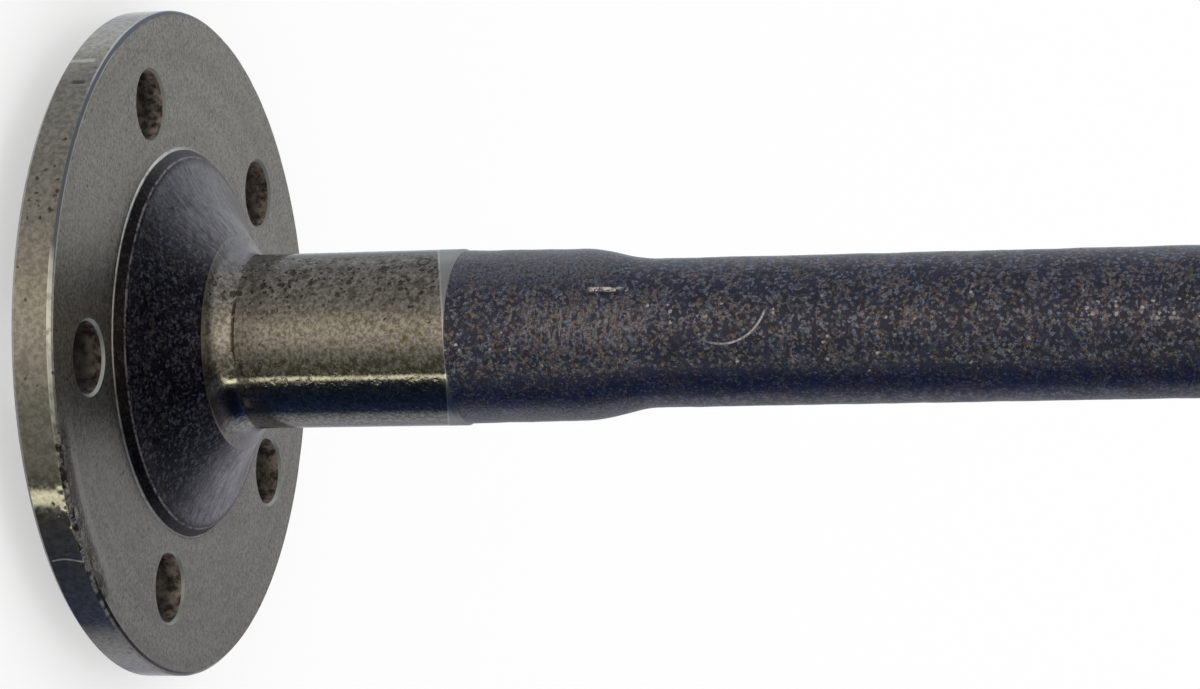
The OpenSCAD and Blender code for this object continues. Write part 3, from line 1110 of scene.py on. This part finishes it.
# height, millimetres round from the front, and radius of each pit
own_pits = [(69.2, 7.0, 0.55), (73.8, 3.2, 0.30), (63.4, 4.4, 0.28), (61.4, 11.6, 0.70),
            (66.2, 13.4, 0.80), (71.8, 10.6, 0.45), (60.2, 8.8, 0.40)]
small_pits = spots(at.place, 1.15, 0.34, 0.46) * between(rusty, 0.0, 1.0, 0.22, 1.0)
large_pits = (spots(at.place, 2.2, 0.50, 0.46) * between(rusty, 0.0, 1.0, 0.34, 1.0)
              * between(mottle, 0.30, 0.50, 0.35, 1.0))
ring_pit = near(at.away_from(ring_pit_z, ring_pit_around), ring_pit_r, 0.55)
pits = either(small_pits, large_pits, ring_pit)
for pit_z, pit_around, pit_r in own_pits:
    ragged = at.away_from(pit_z, pit_around) + mottle * 2.4
    pits = either(pits, between(ragged, pit_r + 1.35, pit_r + 0.95))
print("pits placed one by one:", 1 + len(own_pits))

# %% [markdown]
# The grinding wheel went on at a slight tilt, so a lighter crescent stays between
# its edge and the journal's end. Its edge is a tilted plane, and the height above
# that plane tells on which side of the line a point lies. A brown line shows where
# the wheel's corner met the fillet.

# %% Wheel's edge and corner
edge_height, edge_tilt_front, edge_tilt_side = 70.57, 0.327, 0.041
corner_line_z = 27.5
past_edge = at.z - (at.front * edge_tilt_front - at.side * edge_tilt_side + edge_height)
crescent = between(past_edge, 0.0, 0.2)
bright_line = near(past_edge, 0.1, 0.3)
pits = pits * (1 - crescent)
corner_line = (near(at.z, corner_line_z, 0.5) * span(at.angle, -9, 24, 9)
               * between(grain(at.place, 2.0), 0.34, 0.5))
print("the wheel stopped about", edge_height, "mm up")

# %% [markdown]
# Over the steel lie thin coats: brown blotches and pale rims of old rust, the pits
# themselves, specks of dried oil under the bright middle and a few yellow pits.

# %% Stains on the journal
blotch_brown, pit_brown = (0.095, 0.082, 0.064), (0.036, 0.027, 0.020)
crescent_pale, rim_pale = (0.370, 0.385, 0.375), (0.420, 0.410, 0.400)
oil_green, pit_yellow = (0.075, 0.065, 0.030), (0.120, 0.095, 0.022)
corner_brown, line_silver = (0.075, 0.045, 0.022), (0.66, 0.68, 0.64)
blotches = between(grain(at.place, 2.0, 4.0, 0.75), 0.47, 0.60) * rusty
light_rims = between(grain(at.place, 1.3, 3.0, 0.7), 0.56, 0.66) * rusty
oil_specks = between(grain(at.place, 1.7, 4.0, 0.8), 0.48, 0.55) * span(at.angle, -23, -13, 3)
yellow_pits = (spots(at.place, 1.5, 0.85, 0.56) * span(at.z, 64.5, 71.5, 1.5)
               * span(at.angle, -9, 4, 3))
colour = coats(colour, (blotches, 0.70, blotch_brown), (crescent, 0.85, crescent_pale),
               (light_rims, 0.35, rim_pale), (pits, 0.80, pit_brown),
               (oil_specks, 0.70, oil_green), (yellow_pits, 0.80, pit_yellow),
               (corner_line, 0.85, corner_brown), (bright_line, 0.50, line_silver))
tell(ground_material, "with its stains")

# %% [markdown]
# The ground fillet is dusty, with a painted sheen, where it turns away from the camera
# and painted dark as shade low down, and its border with the black hub is worn to a
# thin warm line.

# %% Ground fillet
fillet_dust_and_sheen, fillet_shade_colour = (0.300, 0.288, 0.300), (0.060, 0.046, 0.052)
border_tan = (0.400, 0.350, 0.320)
fillet = between(at.z, journal_z, journal_z - 1.5)
shadow_side = either(between(at.angle, 30, 75), between(at.angle, -55, -95))
# painted shade: dark low down on the fillet
fillet_shade = fillet * span(at.angle, -51, -34, 6)
fillet_border = (near(at.r, ground_r - 0.15, 0.5) * (1 - shadow_side)
                 * between(stain, 0.36, 0.56, 0.3, 1.0))
# dust with a painted sheen on the fillet's flanks
colour = coats(colour, (fillet * shadow_side, 0.70, fillet_dust_and_sheen),
               (fillet_shade, 0.80, fillet_shade_colour), (fillet_border, 0.80, border_tan))
tell(ground_material, "with its fillet")

# %% [markdown]
# The journal is smooth, but the crescent, the fillet's foot and the first few
# millimetres beside it are duller. Without that, the fillet would mirror itself in
# the journal as a row of bright flecks.

# %% Shine of the journal
fillet_foot = between(at.z, journal_z - 2.4, journal_z - 4.2)
dull_start = (between(at.z, journal_z + 7, journal_z + 1.5)
              * between(at.z, journal_z - 0.3, journal_z) * between(at.angle, -21, -13))
dull = either(fillet_foot, fillet * shadow_side, dull_start * 0.9)
shine = between(mottle, 0.3, 0.7, 0.08, 0.16) + crescent * 0.18 + dull * 0.22
dress(shader, colour, shine,
      relief((wheel_rings, 0.004), (1 - corner_line, 0.10), (1 - pits, 0.06)))
tell(ground_material, "with its shine")

# %% [markdown]
# ## Drilled bore
#
# The walls of the stud holes are dull and brown with old grease. They are painted
# darker as shade towards the outboard side, and on the side of the flange that faces
# the camera.

# %% Drilled bore
bore_material, shader, at = new_finish("drilled_bore", metal=0.6)
grease_black, bore_brown = (0.016, 0.013, 0.012), (0.230, 0.195, 0.165)
mottle = grain(at.place, 2.2, 5.0, 0.7)
colour = paint(between(mottle, 0.36, 0.66), grease_black, bore_brown)
# painted shade: darker deeper down the hole
colour = tint(colour, between(at.z, flange_t * 0.45, flange_t * 0.95, 0.5, 1.9))
# painted shade: darker in the holes on the front
colour = tint(colour, between(near(at.angle, 0, 40), 0.0, 1.0, 1.0, 0.5))
dress(shader, colour, between(mottle, 0.2, 0.8, 0.45, 0.7), relief((mottle, 0.04)))
tell(bore_material, "with its grease")

# %% [markdown]
# ## Cut steel
#
# The spline and the clip end are cut after forging, so they are bare grey steel
# under a film of oil: paler and smoother than anything near the flange.

# %% Cut steel
cut_material, shader, at = new_finish("cut_steel", metal=0.85)
cut_grey, cut_pale = (0.300, 0.285, 0.262), (0.420, 0.405, 0.380)
mottle = grain(at.place, 1.6, 4.0, 0.65)
colour = paint(grain(at.place, 12.0, 3.0), cut_grey, cut_pale)
colour = tint(colour, between(mottle, 0.25, 0.75, 0.8, 1.2))
dress(shader, colour, between(mottle, 0.2, 0.8, 0.24, 0.40), relief((mottle, 0.012)))
tell(cut_material, "under its oil")

# %% [markdown]
# ## The dressed forging
#
# The mesh's faces already carry the number of their finish, so the materials only
# have to be added in that order. The last lines tie the mesh to the frame's root,
# so that it moves with it, and hide the CAD node that it stands for.

# %% Put the finishes on the forging
for material in (face_material, edge_material, scale_material,
                 ground_material, bore_material, cut_material):
    mesh.materials.append(material)
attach(forging, "root")
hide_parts("axle_shaft")
print("finishes:", [material.name for material in mesh.materials])

# %% [markdown]
# ## The floor
#
# The floor is a big pale sheet that the pilot stands on. The picture's background is
# white, so the sheet also glows a little, but only for the camera and for
# reflections. It keeps the part's soft shadow and throws no extra light on it.

# %% Floor
floor_half, white_share, paper_white = 40.0, 0.5, (0.96, 0.96, 0.96)
floor_mesh = bpy.data.meshes.new("floor")
floor_corners = [(x * floor_half, y * floor_half, low.z)
                 for x, y in ((-1, -1), (1, -1), (1, 1), (-1, 1))]
floor_mesh.from_pydata(floor_corners, [], [(0, 1, 2, 3)])
floor = bpy.data.objects.new("floor", floor_mesh)
bpy.context.scene.collection.objects.link(floor)

floor_material = bpy.data.materials.new("floor_paper")
floor_material.use_nodes = True
tree = floor_material.node_tree
paper = tree.nodes["Principled BSDF"]
feed(paper.inputs["Base Color"], paper_white)
paper.inputs["Roughness"].default_value = 1.0
paper.inputs["Specular IOR Level"].default_value = 0.0
white = new_node("ShaderNodeEmission", {}, tree=tree)
camera_ray = new_node("ShaderNodeLightPath", {}, "Is Camera Ray", tree)
seen = either(camera_ray, camera_ray.beside("Is Glossy Ray"),
              camera_ray.beside("Is Transmission Ray"))
blend = new_node("ShaderNodeMixShader",
                 {0: seen * white_share, 1: Field(tree, paper.outputs[0]), 2: white})
feed(tree.nodes["Material Output"].inputs["Surface"], blend)
floor_mesh.materials.append(floor_material)
floor.visible_glossy = False
floor.visible_shadow = False
print("the floor lies at", round(low.z / MM, 1), "mm")

# %% [markdown]
# ## The sky
#
# An even white sky lights the colours plainly, from all sides. It is hidden from
# reflections, because bare steel under a white sky would turn into white steel.

# %% Sky
sky_strength = 1.03
world = bpy.data.worlds.new("sky")
world.use_nodes = True
bpy.context.scene.world = world
sky = world.node_tree.nodes["Background"]
feed(sky.inputs["Color"], (1.0, 1.0, 1.0))
sky.inputs["Strength"].default_value = sky_strength
world.cycles_visibility.glossy = False
print("sky strength:", sky_strength)

# %% [markdown]
# ## The light tent
#
# A steel surface shows what is around it, so the studio is a tent of softly lit
# cloth that only reflections see. Its colour changes round the part: bright in
# front and behind, dim above and dark below the picture's lower edge. The table
# gives it at a few angles.

# %% Colours of the tent
# degrees round from the front, red, green and blue
tent_colours = [
    (-180, 0.72, 0.72, 0.73), (-165, 0.46, 0.46, 0.49), (-151, 0.34, 0.34, 0.38),
    (-135, 0.50, 0.51, 0.56), (-118, 0.34, 0.35, 0.39), (-109, 0.030, 0.050, 0.120),
    (-84, 0.016, 0.028, 0.068), (-60, 0.022, 0.028, 0.040), (-48, 0.10, 0.10, 0.08),
    (-40, 0.25, 0.25, 0.21), (-20, 0.35, 0.34, 0.30), (-12, 0.52, 0.49, 0.42),
    (4, 0.84, 0.76, 0.66), (18, 0.82, 0.74, 0.61), (32, 0.62, 0.57, 0.50),
    (45, 0.48, 0.46, 0.43), (70, 0.42, 0.42, 0.41), (106, 0.46, 0.47, 0.50),
    (124, 0.68, 0.71, 0.73), (140, 0.58, 0.61, 0.66), (151, 0.48, 0.52, 0.57),
    (165, 0.70, 0.71, 0.71), (180, 0.74, 0.74, 0.73)]
brightest = max(tent_colours, key=lambda row: sum(row[1:]))
print("the tent is brightest at", brightest[0], "degrees round from the front")

# %% [markdown]
# The tent itself is a big sphere round the part. Its cloth is a plain emission, and
# a colour ramp blends the table's colours by the angle round the part. Lights in a
# row would do as well, but the ramp has no gaps between them.

# %% Light tent
TENT_R = 4.0
bpy.ops.mesh.primitive_uv_sphere_add(segments=64, ring_count=32, radius=TENT_R,
                                     location=(0, 0, 0))
tent = bpy.context.object
tent.name = "light_tent"
tent_material = bpy.data.materials.new("tent_cloth")
tent_material.use_nodes = True
tent_material.cycles.emission_sampling = "NONE"
tree = tent_material.node_tree
tree.nodes.remove(tree.nodes["Principled BSDF"])
at = Places(tree)
cloth = new_node("ShaderNodeValToRGB", {0: at.angle * (1 / 360) + 0.5}, "Color")
stops = cloth.socket.node.color_ramp.elements
while len(stops) < len(tent_colours):
    stops.new(0.5)
for stop, (degrees, *cloth_colour) in zip(stops, tent_colours):
    stop.position = degrees / 360 + 0.5
    stop.color = (*cloth_colour, 1)
tell(tent_material, f"with {len(stops)} colours")

# %% [markdown]
# The tent is open overhead, and its dark opening leans to the back. That keeps the
# hub's near side black, and still lets the ground fillet below it catch the front.

# %% Tent's opening
opening_lean = math.radians(20)
opening_starts, opening_ends, opening_glow = math.radians(36), math.radians(25), 0.06
upward = at.z * math.cos(opening_lean) - at.front * math.sin(opening_lean)
upward = upward * (MM / TENT_R)
glow = between(upward, math.cos(opening_starts), math.cos(opening_ends), 1.0, opening_glow)
cloth_light = new_node("ShaderNodeEmission", {"Color": cloth, "Strength": glow})
feed(tree.nodes["Material Output"].inputs["Surface"], cloth_light)
tent.data.materials.append(tent_material)
for rays in ("visible_camera", "visible_diffuse", "visible_transmission", "visible_shadow"):
    setattr(tent, rays, False)
print("the opening leans by", round(math.degrees(opening_lean)), "degrees")

# %% [markdown]
# ## The strip lamp
#
# The thin bright line along the journal is one narrow upright lamp, seen in the
# ground steel. It stands in front, round towards the picture's lower edge. A smooth
# cylinder shows any lamp as a line along it, and the lamp's width sets the line's.

# %% Strip lamp
strip_angle, strip_away, strip_z = -51.0, 1.2, -0.25
strip_width, strip_height = 0.11, 2.5
strip_radiance, strip_warm = 2.1, (1.0, 0.97, 0.76)


def round_from_front(degrees):
    """The part's own angle, in radians, of a place that lies so far round from the front."""
    return facing - math.radians(degrees)


strip_data = bpy.data.lights.new("strip_lamp", "AREA")
strip_data.shape = "RECTANGLE"
strip_data.size, strip_data.size_y = strip_width, strip_height
strip_data.energy = strip_radiance * math.pi * strip_width * strip_height
strip_data.color = strip_warm
strip = bpy.data.objects.new("strip_lamp", strip_data)
bpy.context.scene.collection.objects.link(strip)
direction = round_from_front(strip_angle)
outward = Vector((math.cos(direction), math.sin(direction), 0))
strip.location = outward * strip_away + Vector((0, 0, strip_z))
strip.rotation_euler = (-outward).to_track_quat("-Z", "Y").to_euler()
strip.visible_camera = False
strip.visible_diffuse = False
print("strip lamp:", round(strip_data.energy, 2), "W")

# %% [markdown]
# ## Colour management
#
# The Standard view shows a colour about as it is written in a finish, which makes
# it possible to match the photograph's greys by number.

# %% Colour management
bpy.context.scene.view_settings.view_transform = "Standard"
print("view transform:", bpy.context.scene.view_settings.view_transform)
